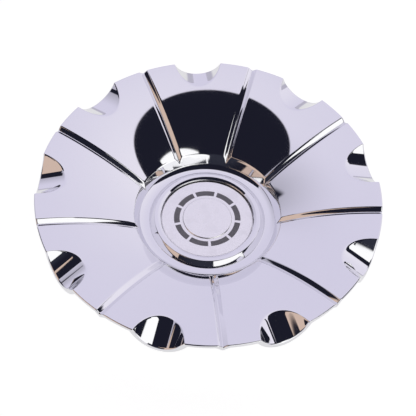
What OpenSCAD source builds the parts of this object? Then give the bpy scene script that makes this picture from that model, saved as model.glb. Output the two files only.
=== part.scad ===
// Chrome wheel centre cap, face up, resting on the ends of its snap legs.
// The face is a dish of nine sectors parted by V grooves, with a scooped pocket at the rim of
// each sector. A steep step leads down into a cup, where a lip stands round a satin medallion.
// The rear has a round spigot that centres in the wheel, and legs that snap in behind a lip.

/* [Cap] */
// Outside diameter of the cap
cap_d = 190; // [180:1:200]
// Thickness of the moulding
wall = 2.5; // [2:0.1:3]
// Number of sectors round the face
sectors = 9; // [8:1:10]

/* [Face] */
// Radius of the crown arc, seen in section
crown_r = 146; // [140:1:156]
// Slope of the face where it meets the rim
rim_slope = 9; // [7:0.5:11]
// Diameter of the edge where the face ends and the step goes down
step_d = 82.4; // [80:0.2:84]
// Slope of the step
step_slope = 59; // [56:1:62]
// Width of the step, measured along the radius
step_w = 3.2; // [2.8:0.1:3.6]

/* [Grooves] */
// Depth of a groove at the rim
groove_rim_d = 1.9; // [1.6:0.1:2.2]
// Depth of a groove where it runs out over the step
groove_in_d = 1.5; // [1.2:0.1:1.8]
// Radius of the arc that the bottom of a groove follows
groove_arc_r = 148; // [144:1:156]
// Half of the angle between the flanks of a groove
groove_half_angle = 52; // [48:1:55]

/* [Pockets] */
// Radius of the round scoop
pocket_r = 15; // [14.2:0.1:15.6]
// Depth of a pocket at the rim
pocket_d = 10; // [9.4:0.1:10.6]
// Slope of the bottom of a pocket
pocket_slope = 23; // [21:0.5:25]

/* [Cup and lip] */
// Height of the foot of the step above the seat of the medallion
foot_above_seat = 2.5; // [2.2:0.1:3]
// Height of the bottom of the cup above the seat of the medallion
trough_above_seat = 1; // [0.7:0.1:1.3]
// Height of the inner edge of the top of the lip above the seat of the medallion
lip_above_seat = 3.8; // [3.4:0.1:4.2]
// Rise of the top of the lip towards its outer edge
lip_rise = 0.1; // [0:0.1:0.5]
// Width of the top of the lip
lip_top_w = 1.9; // [1.6:0.1:2.2]
// Width of the sloping outer flank of the lip
lip_flank_w = 3; // [2.6:0.1:3.3]
// Width of the sloping inner flank of the lip
lip_inner_w = 1.5; // [1.2:0.1:1.8]
// Height of the sloping inner flank of the lip
lip_inner_h = 0.7; // [0.4:0.1:1]

/* [Medallion] */
// Diameter of the medallion
medallion_d = 51.8; // [50:0.2:52.2]
// Thickness of the medallion
medallion_t = 1.5; // [1.2:0.1:1.8]
// Gap between the medallion and the lip
medallion_gap = 0.4; // [0.2:0.1:0.6]
// Outside diameter of the band of painted fields
field_d = 37.6; // [34:0.2:40]
// Width of the painted fields
field_w = 3.2; // [2.4:0.1:4]
// Depth of the painted fields
field_depth = 0.2; // [0.1:0.05:0.3]
// Angle left plain between two painted fields
field_gap = 5; // [3:0.5:10]
// Diameter of the raised plain middle
middle_d = 27; // [24:0.5:29]
// Height of the raised plain middle
middle_h = 0.4; // [0.2:0.1:0.6]
// Thickness of the adhesive pad
pad_t = 0.5; // [0.4:0.1:0.8]
// Distance from the edge of the medallion to the edge of the pad
pad_inset = 1; // [0.5:0.1:2]

/* [Spigot and legs] */
// Outside diameter of the spigot
spigot_d = 62; // [61:0.1:63]
// Length of the spigot behind the floor of the cup
spigot_l = 8; // [6:0.5:10]
// Thickness of the spigot
spigot_wall = 2.2; // [1.8:0.1:2.4]
// Number of snap legs
legs = 6; // [5:1:8]
// Length of a leg past the end of the spigot
leg_l = 10; // [8:0.5:12]
// Thickness of a leg
leg_t = 2; // [1.8:0.1:2.4]
// Angle that one leg spans
leg_span = 24; // [18:1:30]
// Distance of the legs inside the outer face of the spigot
leg_inset = 0.8; // [0.7:0.1:1]
// Height of the barb on a leg
barb_h = 0.6; // [0.4:0.1:0.6]
// Length of each slope of the barb
barb_l = 1.6; // [1.2:0.1:2]

/* [Retaining ring] */
// Diameter of the spring wire
wire_d = 2.4; // [2:0.1:2.8]
// Depth of the seat of the wire in the legs
wire_seat = 0.5; // [0.3:0.1:0.7]
// Clearance round the wire in its seat
wire_gap = 0.1; // [0.05:0.05:0.2]
// Height of the wire above the ends of the legs
wire_z = 6; // [5:0.5:6.5]
// Angle of the gap between the ends of the ring
ring_gap = 24; // [16:1:34]

/* [Hidden] */
$fn = 96;

// Number of straight steps that stand for each arc of the section
crown_steps = 7;
cove_steps = 4;
groove_steps = 4;
// Overlap that makes a cut run clear of a face
clear = 2;
// Overlap of the steps of a groove, its run in over the step, and the height of its V cutter
groove_lap = 0.5;
groove_run_in = 6;
groove_cut_h = 7;
// Length of the scoop cutter inside and outside the rim
pocket_cut_in = 34;
pocket_cut_out = 12;
// Place of the first leg round the cap
leg_turn = 18;

cap_r = cap_d / 2;
step_r = step_d / 2;
spigot_r = spigot_d / 2;
recess_r = medallion_d / 2 + medallion_gap;
sector = 360 / sectors;
seat_z = leg_l + spigot_l + wall;
floor_z = seat_z - wall;

// The step in section, from its edge to its foot
step_foot = [step_r - step_w, seat_z + foot_above_seat];
step_edge = step_foot + step_w * [1, tan(step_slope)];

// The arc of the face ends on the edge of the step
edge_slope = asin((cap_r - step_r + crown_r * sin(rim_slope)) / crown_r);
rim_z = step_edge[1] + crown_r * (cos(rim_slope) - cos(edge_slope));
crown_centre = [cap_r + crown_r * sin(rim_slope), rim_z - crown_r * cos(rim_slope)];

// Points of an arc whose tangent goes from one slope to another
function slope_arc(centre, r, from, to, steps) =
    [for (i = [0:steps]) let (s = from + (to - from) * i / steps)
        centre + r * [-sin(s), cos(s)]];

// The face in section, from the rim to a slope, a distance below its surface
function face_line(below, last) =
    slope_arc(crown_centre, crown_r - below, rim_slope, last, crown_steps);

// A smooth step from one point to another, level at the second
function ease(from, to, steps) =
    [for (i = [1:steps]) let (t = i / steps)
        [from[0] + (to[0] - from[0]) * t, to[1] + (from[1] - to[1]) * pow(1 - t, 2)]];

// The cup in section, from the foot of the step over the lip to the medallion's seat
lip_inner = [recess_r + lip_inner_w, seat_z + lip_above_seat];
lip_crest = lip_inner + [lip_top_w, lip_rise];
trough = [lip_crest[0] + lip_flank_w, seat_z + trough_above_seat];
cup_line = concat(
    [step_foot],
    ease(step_foot, trough, cove_steps),
    [lip_crest, lip_inner, lip_inner - [lip_inner_w, lip_inner_h], [recess_r, seat_z], [0, seat_z]]
);

// The rear of the face and of the step, which meet at a mitre
spigot_inner = spigot_r - spigot_wall;
mitre_slope = (edge_slope + step_slope) / 2;
mitre = step_edge + wall / cos(step_slope - mitre_slope) * [sin(mitre_slope), -cos(mitre_slope)];
rear_slope = asin((crown_centre[0] - mitre[0]) / (crown_r - wall));
under_r = mitre[0] - (mitre[1] - floor_z) / tan(step_slope);

// Face, cup and spigot as one turned body, solid under the face
module turned_body() {
    rotate_extrude()
        polygon(concat(
            face_line(0, edge_slope),
            cup_line,
            [
                [0, floor_z], [spigot_inner, floor_z], [spigot_inner, leg_l], [spigot_r, leg_l],
                [spigot_r, floor_z], [cap_r, floor_z]
            ]
        ));
}

// What is hollow behind the plain face
module rear_space() {
    low_z = floor_z - clear;
    outer_r = cap_r + clear;
    rotate_extrude()
        polygon(concat(
            [[outer_r, rim_z]],
            face_line(wall, rear_slope),
            [[under_r, floor_z], [under_r, low_z], [outer_r, low_z]]
        ));
}

// The arc that the bottom of a groove follows in section, from the edge of the step to the rim
groove_end = [cap_r, rim_z - groove_rim_d];
groove_start = step_edge + groove_in_d * [sin(edge_slope), -cos(edge_slope)];
groove_chord = norm(groove_end - groove_start);
groove_dir = (groove_end - groove_start) / groove_chord;
groove_sink = sqrt(pow(groove_arc_r, 2) - pow(groove_chord / 2, 2));
groove_centre = (groove_start + groove_end) / 2 + groove_sink * [groove_dir[1], -groove_dir[0]];
function turn_of(point) = atan2(point[1] - groove_centre[1], point[0] - groove_centre[0]);

// Points along the bottom of a groove, a distance grow below it
function groove_points(grow) = let (
    reach = groove_arc_r - grow / sin(groove_half_angle),
    from = turn_of(groove_start),
    to = turn_of(groove_end) - clear
) [for (i = [0:groove_steps]) let (t = from + (to - from) * i / groove_steps)
    groove_centre + reach * [cos(t), sin(t)]];

// A V that follows the bottom of its groove in straight steps, grown by the wall for the rear
module groove_cutter(grow) {
    points = groove_points(grow);
    high = groove_cut_h + grow;
    half_w = high * tan(groove_half_angle);
    for (i = [0:groove_steps - 1]) {
        run = points[i + 1] - points[i];
        before = i == 0 ? groove_run_in : groove_lap;
        translate([points[i][0], 0, points[i][1]])
            rotate([0, -atan2(run[1], run[0]), 0])
                translate([-before, 0, 0])
                    rotate([90, 0, 90])
                        linear_extrude(height = before + norm(run) + groove_lap)
                            polygon([[0, 0], [half_w, high], [-half_w, high]]);
    }
}

// A round scoop that slopes down towards the rim, grown by the wall for the rear
module pocket_cutter(grow) {
    axis_z = rim_z - pocket_d + pocket_r / cos(pocket_slope);
    translate([cap_r, 0, axis_z])
        rotate([0, 90 + pocket_slope, 0])
            translate([0, 0, -pocket_cut_in])
                cylinder(r = pocket_r + grow, h = pocket_cut_in + pocket_cut_out);
}

module face_cutters(grow) {
    for (i = [0:sectors - 1]) {
        rotate([0, 0, sector * i]) groove_cutter(grow);
        rotate([0, 0, sector * (i + 0.5)]) pocket_cutter(grow);
    }
}

leg_outer = spigot_r - leg_inset;
leg_inner = leg_outer - leg_t;
wire_ring_r = leg_inner + wire_seat - wire_d / 2;

// One leg, which is a piece of a turned ring with a barb near its end
module snap_leg() {
    top_z = seat_z - wall / 2;
    rotate([0, 0, -leg_span / 2])
        rotate_extrude(angle = leg_span)
            polygon([
                [leg_inner, 0], [leg_outer - barb_h, 0], [leg_outer + barb_h, barb_l],
                [leg_outer, 2 * barb_l], [leg_outer, top_z], [leg_inner, top_z]
            ]);
}

module wire_seat_cutter() {
    translate([0, 0, wire_z])
        rotate_extrude()
            translate([wire_ring_r, 0]) circle(r = wire_d / 2 + wire_gap);
}

module cap_shell() {
    color("silver")
        union() {
            difference() {
                turned_body();
                face_cutters(0);
                difference() {
                    rear_space();
                    face_cutters(wall);
                }
            }
            difference() {
                for (i = [0:legs - 1]) rotate([0, 0, leg_turn + 360 / legs * i]) snap_leg();
                wire_seat_cutter();
            }
        }
}

// A disc with a bevelled edge, a low raised middle and a band of sunk fields for the paint
module medallion() {
    low_z = seat_z + pad_t;
    top_z = low_z + medallion_t;
    bevel = medallion_t / 3;
    outer_r = medallion_d / 2;
    middle_r = middle_d / 2;
    color("gainsboro")
        difference() {
            rotate_extrude()
                polygon([
                    [0, low_z], [outer_r, low_z], [outer_r, top_z - bevel],
                    [outer_r - bevel, top_z], [middle_r + middle_h, top_z],
                    [middle_r, top_z + middle_h], [0, top_z + middle_h]
                ]);
            for (i = [0:sectors - 1])
                rotate([0, 0, sector * i + field_gap / 2])
                    rotate_extrude(angle = sector - field_gap)
                        translate([field_d / 2 - field_w, top_z - field_depth])
                            square([field_w, field_depth + clear]);
        }
}

module adhesive_pad() {
    color("white")
        translate([0, 0, seat_z]) cylinder(r = medallion_d / 2 - pad_inset, h = pad_t);
}

// An open ring of spring wire that presses the legs outwards
module retaining_ring() {
    color("dimgray")
        translate([0, 0, wire_z])
            rotate([0, 0, leg_turn + 180 / legs + ring_gap / 2])
                rotate_extrude(angle = 360 - ring_gap)
                    translate([wire_ring_r, 0]) circle(d = wire_d);
}

cap_shell();
medallion();
adhesive_pad();
retaining_ring();
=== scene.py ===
"""Looks of a chrome wheel centre cap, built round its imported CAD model.

The shell is a height field worked out from the sizes of the CAD source, with the small rounds of a
real moulding added. One face sector and one leg sector are drawn, and a Geometry Nodes tree repeats
them round the axis and welds them into one closed moulding. All sizes are in millimetres until a
mesh is written, and metres after that.
"""

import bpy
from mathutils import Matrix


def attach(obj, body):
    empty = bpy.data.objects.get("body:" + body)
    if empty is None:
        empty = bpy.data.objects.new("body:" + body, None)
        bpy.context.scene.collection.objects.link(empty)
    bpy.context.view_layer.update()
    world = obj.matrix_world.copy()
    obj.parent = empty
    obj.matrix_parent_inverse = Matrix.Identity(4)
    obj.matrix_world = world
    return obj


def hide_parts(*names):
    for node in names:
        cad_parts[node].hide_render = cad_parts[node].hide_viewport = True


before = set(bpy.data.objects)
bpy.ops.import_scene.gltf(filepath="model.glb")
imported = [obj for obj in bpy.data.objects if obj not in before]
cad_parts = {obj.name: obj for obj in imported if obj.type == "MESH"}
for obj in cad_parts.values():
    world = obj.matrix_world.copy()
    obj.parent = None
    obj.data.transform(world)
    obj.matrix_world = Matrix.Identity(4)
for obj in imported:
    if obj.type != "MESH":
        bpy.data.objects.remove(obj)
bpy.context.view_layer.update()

import logging
import math
from dataclasses import dataclass, field
from enum import Enum
from typing import Any, Sequence

import bpy
import numpy as np
from mathutils import Matrix, Vector
from mathutils.geometry import delaunay_2d_cdt

logging.basicConfig(level=logging.INFO, format="%(levelname)s %(message)s")
log = logging.getLogger("centre_cap")

MM = 0.001
BODY = "root"
FACING = "facing"
WELD = 2e-6
AXIS = 1e-9
WIRE_SIDES = 28
IMAGE_SIDE = 416

Colour = tuple[float, float, float]
Point = tuple[float, float]
Band = tuple[float, float]
Values = dict[Any, Any] | None


class Slot(Enum):
    """The material slots, named as in the record."""

    CHROME = "chrome_plate"
    SATIN = "satin_metal"
    FOAM = "foam_tape"
    WIRE = "spring_wire"


# Shader graphs


class Signal:
    """A number socket of a shader graph that takes part in Python expressions."""

    def __init__(self, graph: "Graph", socket: bpy.types.NodeSocket) -> None:
        """Keeps the graph and the socket."""
        self.graph = graph
        self.socket = socket

    def math(self, operation: str, *others: Any, first: bool = True) -> "Signal":
        """Adds one Math node.

        Args:
            operation: Name of the Math node's operation.
            others: The other operands, numbers or signals.
            first: Whether this signal is the first operand.

        Returns:
            The node's result.
        """
        operands = [self, *others] if first else [*others, self]
        node = self.graph.node("ShaderNodeMath", {"operation": operation}, dict(enumerate(operands)))
        return Signal(self.graph, node.outputs[0])

    def __add__(self, other: Any) -> "Signal":
        """Adds."""
        return self.math("ADD", other)

    def __sub__(self, other: Any) -> "Signal":
        """Subtracts."""
        return self.math("SUBTRACT", other)

    def __rsub__(self, other: Any) -> "Signal":
        """Subtracts this signal from a number."""
        return self.math("SUBTRACT", other, first=False)

    def __mul__(self, other: Any) -> "Signal":
        """Multiplies."""
        return self.math("MULTIPLY", other)

    def __truediv__(self, other: Any) -> "Signal":
        """Divides."""
        return self.math("DIVIDE", other)

    def __pow__(self, other: Any) -> "Signal":
        """Raises to a power."""
        return self.math("POWER", other)

    __radd__ = __add__
    __rmul__ = __mul__

    def lowest(self, other: Any) -> "Signal":
        """Takes the lower of two values."""
        return self.math("MINIMUM", other)

    def highest(self, other: Any) -> "Signal":
        """Takes the higher of two values."""
        return self.math("MAXIMUM", other)

    def step(self, start: float, end: float) -> "Signal":
        """Runs smoothly from 0, where this signal is start, to 1, where it is end."""
        inputs = {"Value": self, "From Min": start, "From Max": end}
        node = self.graph.node("ShaderNodeMapRange", {"interpolation_type": "SMOOTHSTEP"}, inputs)
        return Signal(self.graph, node.outputs[0])


class Graph:
    """The node tree of one material or world, emptied and ready for new nodes."""

    def __init__(self, owner: bpy.types.Material | bpy.types.World) -> None:
        """Switches the owner to nodes and empties its tree."""
        owner.use_nodes = True
        self.tree = owner.node_tree
        self.tree.nodes.clear()

    def node(self, kind: str, settings: Values = None, inputs: Values = None) -> Any:
        """Adds any node.

        Args:
            kind: Type name of the node.
            settings: Properties that are set first.
            inputs: Values, signals or sockets by the name, identifier or number of the input.

        Returns:
            The new node.
        """
        node = self.tree.nodes.new(kind)
        for key, value in (settings or {}).items():
            setattr(node, key, value)
        for key, value in (inputs or {}).items():
            socket = self.input_of(node, key)
            source = value.socket if isinstance(value, Signal) else value
            if isinstance(source, bpy.types.NodeSocket):
                self.tree.links.new(source, socket)
            elif isinstance(source, tuple) and len(source) == 3 and socket.type == "RGBA":
                socket.default_value = (*source, 1.0)
            else:
                socket.default_value = source
        return node

    @staticmethod
    def input_of(node: Any, key: Any) -> bpy.types.NodeSocket:
        """Finds an input by number, identifier or name."""
        if isinstance(key, int):
            return node.inputs[key]
        return next((s for s in node.inputs if s.identifier == key), None) or node.inputs[key]

    def signal(self, node: Any, output: Any = 0) -> Signal:
        """Wraps an output of a node."""
        return Signal(self, node.outputs[output])

    def place(self) -> bpy.types.NodeSocket:
        """Gives the Object coordinates."""
        return self.node("ShaderNodeTexCoord").outputs["Object"]

    def axes(self, vector: Any) -> tuple[Signal, Signal, Signal]:
        """Splits a vector into its three numbers."""
        node = self.node("ShaderNodeSeparateXYZ", inputs={0: vector})
        return self.signal(node, 0), self.signal(node, 1), self.signal(node, 2)

    def mix(self, factor: Any, first: Any, second: Any) -> bpy.types.NodeSocket:
        """Mixes two colours."""
        inputs = {"Factor_Float": factor, "A_Color": first, "B_Color": second}
        node = self.node("ShaderNodeMix", {"data_type": "RGBA"}, inputs)
        return next(s for s in node.outputs if s.identifier == "Result_Color")

    def radius(self, x: Signal, y: Signal) -> Signal:
        """Gives the distance from the axis."""
        return (x * x + y * y) ** 0.5

    def noise(self, scale: float, detail: float, vector: Any) -> Signal:
        """Gives a noise between 0 and 1."""
        inputs = {"Vector": vector, "Scale": scale, "Detail": detail}
        return self.signal(self.node("ShaderNodeTexNoise", inputs=inputs))

    def bump(self, height: Signal, strength: float, distance: float) -> bpy.types.NodeSocket:
        """Turns a height into a normal."""
        inputs = {"Height": height, "Strength": strength, "Distance": distance}
        return self.node("ShaderNodeBump", inputs=inputs).outputs[0]

    def surface(self, shader: Any) -> None:
        """Ends a material in its output."""
        self.node("ShaderNodeOutputMaterial", inputs={"Surface": shader.outputs[0]})


# Finishes


@dataclass(frozen=True)
class Finish:
    """A surface that the inputs of one Principled shader describe."""

    name: str

    def inputs(self, g: Graph) -> dict[str, Any]:
        """Works out the shader's inputs."""
        raise NotImplementedError

    def build(self) -> bpy.types.Material:
        """Makes the material."""
        material = bpy.data.materials.new(self.name)
        g = Graph(material)
        g.surface(g.node("ShaderNodeBsdfPrincipled", inputs=self.inputs(g)))
        return material


@dataclass(frozen=True)
class ChromePlate(Finish):
    """Bright chrome on a plastic moulding, with the long waves of the plastic and faint wiping marks."""

    name: str = Slot.CHROME.value
    colour: Colour = (0.86, 0.86, 0.88)
    haze: Colour = (0.80, 0.80, 0.83)
    polish: float = 0.035
    wiped: float = 0.075
    rear_dulling: float = 0.16
    # Bands over which an effect sets in, from none to full: of noises, of the normal's z, of height
    cloud_band: Band = (0.45, 0.75)
    wipe_band: Band = (0.60, 0.78)
    speck_band: Band = (0.73, 0.80)
    rear_normal: Band = (-0.15, -0.45)
    rear_height: Band = (0.0185, 0.0165)
    cloud_scale: float = 38.0
    wipe_stretch: Colour = (900.0, 90.0, 300.0)
    speck_scale: float = 2600.0
    wave_scale: float = 22.0
    rear_grain_scale: float = 2200.0
    wave_depth: float = 0.00006

    def inputs(self, g: Graph) -> dict[str, Any]:
        """Works out the shader's inputs."""
        place = g.place()
        _, _, up = g.axes(g.node("ShaderNodeNewGeometry").outputs["Normal"])
        _, _, height = g.axes(place)
        cloud = g.noise(self.cloud_scale, 3.0, place)
        stretched = g.node("ShaderNodeMapping", inputs={"Vector": place, "Scale": self.wipe_stretch})
        wipes = g.noise(1.0, 4.0, stretched.outputs[0]).step(*self.wipe_band)
        specks = g.noise(self.speck_scale, 1.0, place).step(*self.speck_band)
        behind = up.step(*self.rear_normal).highest(height.step(*self.rear_height))
        haze = (cloud.step(*self.cloud_band) * 0.25 + wipes * 0.18 + specks * 0.35).lowest(1.0)
        roughness = self.polish + haze * self.wiped + behind * self.rear_dulling
        wave = g.noise(self.wave_scale, 1.0, place)
        wave = wave + g.noise(self.rear_grain_scale, 2.0, place) * behind * 0.06
        return {
            "Base Color": g.mix(haze * 0.5 + behind * 0.4, self.colour, self.haze),
            "Metallic": 1.0,
            "Roughness": roughness,
            "Normal": g.bump(wave, 0.25, self.wave_depth),
        }


@dataclass(frozen=True)
class SatinMetal(Finish):
    """Satin aluminium with the fine rings of a turned face."""

    name: str = Slot.SATIN.value
    colour: Colour = (0.96, 0.95, 0.94)
    dark: Colour = (0.90, 0.89, 0.89)
    roughness: float = 0.27
    wear_band: Band = (0.52, 0.72)
    ring_pitch: float = 0.00024
    wobble_scale: float = 260.0
    grain_scale: float = 5200.0
    wear_scale: float = 150.0
    ring_depth: float = 0.00002

    def inputs(self, g: Graph) -> dict[str, Any]:
        """Works out the shader's inputs."""
        place = g.place()
        x, y, _ = g.axes(place)
        radius = g.radius(x, y)
        wobble = g.noise(self.wobble_scale, 2.0, place)
        rings = (radius * (2.0 * math.pi / self.ring_pitch) + wobble * 5.0).math("SINE") * 0.5 + 0.5
        grain = g.noise(self.grain_scale, 2.0, place)
        wear = g.noise(self.wear_scale, 3.0, place).step(*self.wear_band)
        height = rings * 0.45 + grain * 0.8
        return {
            "Base Color": g.mix(wear * 0.35 + rings * 0.12 + grain * 0.2, self.colour, self.dark),
            "Metallic": 1.0,
            "Roughness": wear * 0.06 + rings * 0.04 + self.roughness,
            "Normal": g.bump(height, 0.35, self.ring_depth),
        }


@dataclass(frozen=True)
class FieldPaint(Finish):
    """Dark grey enamel that has flowed level in its fields."""

    name: str = "field_paint"
    colour: Colour = (0.165, 0.160, 0.175)
    light: Colour = (0.205, 0.200, 0.215)
    roughness: float = 0.22
    cloud_band: Band = (0.35, 0.7)
    cloud_scale: float = 210.0
    flake_scale: float = 4200.0
    flow_depth: float = 0.00002

    def inputs(self, g: Graph) -> dict[str, Any]:
        """Works out the shader's inputs."""
        place = g.place()
        cloud = g.noise(self.cloud_scale, 3.0, place)
        flake = g.noise(self.flake_scale, 1.0, place)
        return {
            "Base Color": g.mix(cloud.step(*self.cloud_band) * 0.6 + flake * 0.3, self.colour, self.light),
            "Roughness": cloud * 0.14 + self.roughness,
            "Normal": g.bump(flake + cloud * 1.5, 0.25, self.flow_depth),
        }


@dataclass(frozen=True)
class FoamTape(Finish):
    """Matt closed-cell foam tape, with painted shade in the hollows of its cells."""

    name: str = Slot.FOAM.value
    colour: Colour = (0.75, 0.75, 0.73)
    # Darker colour painted into the cell hollows as shade
    pore_shade: Colour = (0.55, 0.55, 0.53)
    roughness: float = 0.8
    pore_band: Band = (0.25, 0.6)
    cell_scale: float = 2400.0
    cloud_scale: float = 300.0
    pore_depth: float = 0.00008

    def inputs(self, g: Graph) -> dict[str, Any]:
        """Works out the shader's inputs."""
        place = g.place()
        cells = g.node("ShaderNodeTexVoronoi", {"feature": "F1"}, {"Vector": place, "Scale": self.cell_scale})
        cells = g.signal(cells, "Distance")
        pores = cells.step(*self.pore_band)
        cloud = g.noise(self.cloud_scale, 2.0, place)
        return {
            # The pore colour is painted shade where the bump sinks the cells; the cloud is a random tone
            "Base Color": g.mix(pores * 0.5 + cloud * 0.3, self.colour, self.pore_shade),
            "Roughness": pores * 0.1 + self.roughness,
            "Normal": g.bump(1 - pores, 0.6, self.pore_depth),
        }


@dataclass(frozen=True)
class SpringWire(Finish):
    """Drawn spring wire with draw lines along it and a thin oil film."""

    name: str = Slot.WIRE.value
    colour: Colour = (0.42, 0.42, 0.43)
    dark: Colour = (0.24, 0.24, 0.25)
    roughness: float = 0.22
    film_band: Band = (0.4, 0.7)
    draw_scale: float = 9000.0
    film_scale: float = 420.0
    draw_depth: float = 0.00003

    def inputs(self, g: Graph) -> dict[str, Any]:
        """Works out the shader's inputs."""
        place = g.place()
        x, y, z = g.axes(place)
        section = {0: g.radius(x, y) * self.draw_scale, 1: z * self.draw_scale, 2: 0.0}
        across = g.node("ShaderNodeCombineXYZ", inputs=section)
        lines = g.noise(1.0, 3.0, across.outputs[0])
        film = g.noise(self.film_scale, 3.0, place).step(*self.film_band)
        return {
            "Base Color": g.mix(lines * 0.5 + film * 0.4, self.colour, self.dark),
            "Metallic": 1.0,
            "Roughness": lines * 0.15 + film * 0.1 + self.roughness,
            "Normal": g.bump(lines, 0.4, self.draw_depth),
        }


# The shape of the moulding, in millimetres


def soft_low(a: np.ndarray, b: np.ndarray, blend: float) -> np.ndarray:
    """Takes the lower of two heights with a small round where they meet.

    Args:
        a: First heights.
        b: Second heights.
        blend: Difference of height over which they blend.

    Returns:
        The rounded lower envelope.
    """
    share = np.maximum(blend - np.abs(a - b), 0.0) / blend
    return np.minimum(a, b) - share * share * blend / 4


def soft_high(a: np.ndarray, b: np.ndarray, blend: float) -> np.ndarray:
    """Takes the higher of two heights with a small round where they meet."""
    return -soft_low(-a, -b, blend)


@dataclass(frozen=True)
class CapShape:
    """Sizes of the cap, as in the CAD source, and the heights that follow from them."""

    cap_d: float = 190.0
    wall: float = 2.5
    sectors: int = 9
    crown_r: float = 146.0
    rim_slope: float = 9.0
    step_d: float = 82.4
    step_slope: float = 59.0
    step_w: float = 3.2
    groove_rim_d: float = 1.9
    groove_in_d: float = 1.5
    groove_arc_r: float = 148.0
    groove_half_angle: float = 52.0
    pocket_r: float = 15.0
    pocket_d: float = 10.0
    pocket_slope: float = 23.0
    foot_above_seat: float = 2.5
    trough_above_seat: float = 1.0
    lip_above_seat: float = 3.8
    lip_rise: float = 0.1
    lip_top_w: float = 1.9
    lip_flank_w: float = 3.0
    lip_inner_w: float = 1.5
    lip_inner_h: float = 0.7
    medallion_d: float = 51.8
    medallion_t: float = 1.5
    medallion_gap: float = 0.4
    field_d: float = 37.6
    field_w: float = 3.2
    field_depth: float = 0.2
    field_gap: float = 5.0
    middle_d: float = 27.0
    middle_h: float = 0.4
    pad_t: float = 0.5
    spigot_d: float = 62.0
    spigot_l: float = 8.0
    spigot_wall: float = 2.2
    legs: int = 6
    leg_l: float = 10.0
    leg_t: float = 2.0
    leg_span: float = 24.0
    leg_inset: float = 0.8
    leg_turn: float = 18.0
    barb_h: float = 0.6
    barb_l: float = 1.6
    wire_d: float = 2.4
    wire_seat: float = 0.5
    wire_gap: float = 0.1
    wire_z: float = 6.0
    ring_gap: float = 24.0
    # Rounds of the moulding: heights over which two faces blend, and radii
    groove_edge: float = 0.4
    pocket_edge: float = 0.7
    step_edge_round: float = 0.4
    foot_round: float = 0.9
    crease: float = 0.12
    foot_turn: float = 0.3
    trough_round: float = 0.25
    lip_round: float = 0.35
    recess_round: float = 0.2
    root_round: float = 0.8
    spigot_round: float = 0.3
    barb_round: float = 0.25
    leg_end_round: float = 0.2
    inner_step: float = 0.5
    rim_round: float = 0.9
    rear_round: float = 0.7

    @property
    def cap_r(self) -> float:
        """Outside radius."""
        return self.cap_d / 2

    @property
    def step_r(self) -> float:
        """Radius of the edge of the step."""
        return self.step_d / 2

    @property
    def recess_r(self) -> float:
        """Radius of the recess round the medallion."""
        return self.medallion_d / 2 + self.medallion_gap

    @property
    def spigot_r(self) -> float:
        """Outside radius of the spigot."""
        return self.spigot_d / 2

    @property
    def seat_z(self) -> float:
        """Height of the medallion's seat."""
        return self.leg_l + self.spigot_l + self.wall

    @property
    def floor_z(self) -> float:
        """Height of the floor inside the spigot and of the underside of the cup."""
        return self.seat_z - self.wall

    @property
    def disc_low(self) -> float:
        """Height of the underside of the medallion."""
        return self.seat_z + self.pad_t

    @property
    def disc_top(self) -> float:
        """Height of the top of the medallion, beside its raised middle."""
        return self.seat_z + self.pad_t + self.medallion_t

    @property
    def leg_outer(self) -> float:
        """Radius of the outside of the legs."""
        return self.spigot_r - self.leg_inset

    @property
    def leg_inner(self) -> float:
        """Radius of the inside of the legs."""
        return self.leg_outer - self.leg_t

    @property
    def wire_ring_r(self) -> float:
        """Radius of the ring that the wire's middle follows."""
        return self.leg_inner + self.wire_seat - self.wire_d / 2

    @property
    def step_foot(self) -> Point:
        """Foot of the step in section."""
        return self.step_r - self.step_w, self.seat_z + self.foot_above_seat

    @property
    def step_edge(self) -> Point:
        """Edge of the step in section."""
        foot = self.step_foot
        return self.step_r, foot[1] + self.step_w * math.tan(math.radians(self.step_slope))

    @property
    def edge_slope(self) -> float:
        """Slope of the face where it ends at the step, in radians."""
        reach = self.cap_r - self.step_r + self.crown_r * math.sin(math.radians(self.rim_slope))
        return math.asin(reach / self.crown_r)

    @property
    def rim_z(self) -> float:
        """Height of the rim."""
        drop = math.cos(math.radians(self.rim_slope)) - math.cos(self.edge_slope)
        return self.step_edge[1] + self.crown_r * drop

    @property
    def crown_centre(self) -> np.ndarray:
        """Centre of the crown arc in section."""
        rim = math.radians(self.rim_slope)
        way = np.array([math.sin(rim), -math.cos(rim)])
        return np.array([self.cap_r, self.rim_z]) + self.crown_r * way

    @property
    def groove_start(self) -> np.ndarray:
        """Bottom of a groove where it runs out over the step, in section."""
        way = np.array([math.sin(self.edge_slope), -math.cos(self.edge_slope)])
        return np.array(self.step_edge) + self.groove_in_d * way

    @property
    def groove_centre(self) -> np.ndarray:
        """Centre of the arc that the bottom of a groove follows."""
        end = np.array([self.cap_r, self.rim_z - self.groove_rim_d])
        chord = end - self.groove_start
        length = float(np.linalg.norm(chord))
        sink = math.sqrt(self.groove_arc_r**2 - (length / 2) ** 2)
        return (end + self.groove_start) / 2 + sink * np.array([chord[1], -chord[0]]) / length

    def mitre(self, below: float) -> Point:
        """Point where the face and the step meet, a distance below the front surface."""
        slope = (self.edge_slope + math.radians(self.step_slope)) / 2
        reach = below / math.cos(math.radians(self.step_slope) - slope)
        return self.step_edge[0] + reach * math.sin(slope), self.step_edge[1] - reach * math.cos(slope)

    @property
    def under_r(self) -> float:
        """Radius at which the rear of the step comes down to the underside."""
        r, z = self.mitre(self.wall)
        return r - (z - self.floor_z) / math.tan(math.radians(self.step_slope))

    def plain(self, r: np.ndarray, below: float) -> np.ndarray:
        """Height of the plain face and step, without grooves and pockets.

        Args:
            r: Distances from the axis.
            below: Distance under the front surface.

        Returns:
            The heights.
        """
        (cx, cz), (mitre_r, mitre_z) = self.crown_centre, self.mitre(below)
        crown = cz + np.sqrt(np.maximum((self.crown_r - below) ** 2 - (r - cx) ** 2, 0.0))
        step = mitre_z + (r - mitre_r) * math.tan(math.radians(self.step_slope))
        return soft_low(crown, step, self.step_edge_round)

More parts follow.
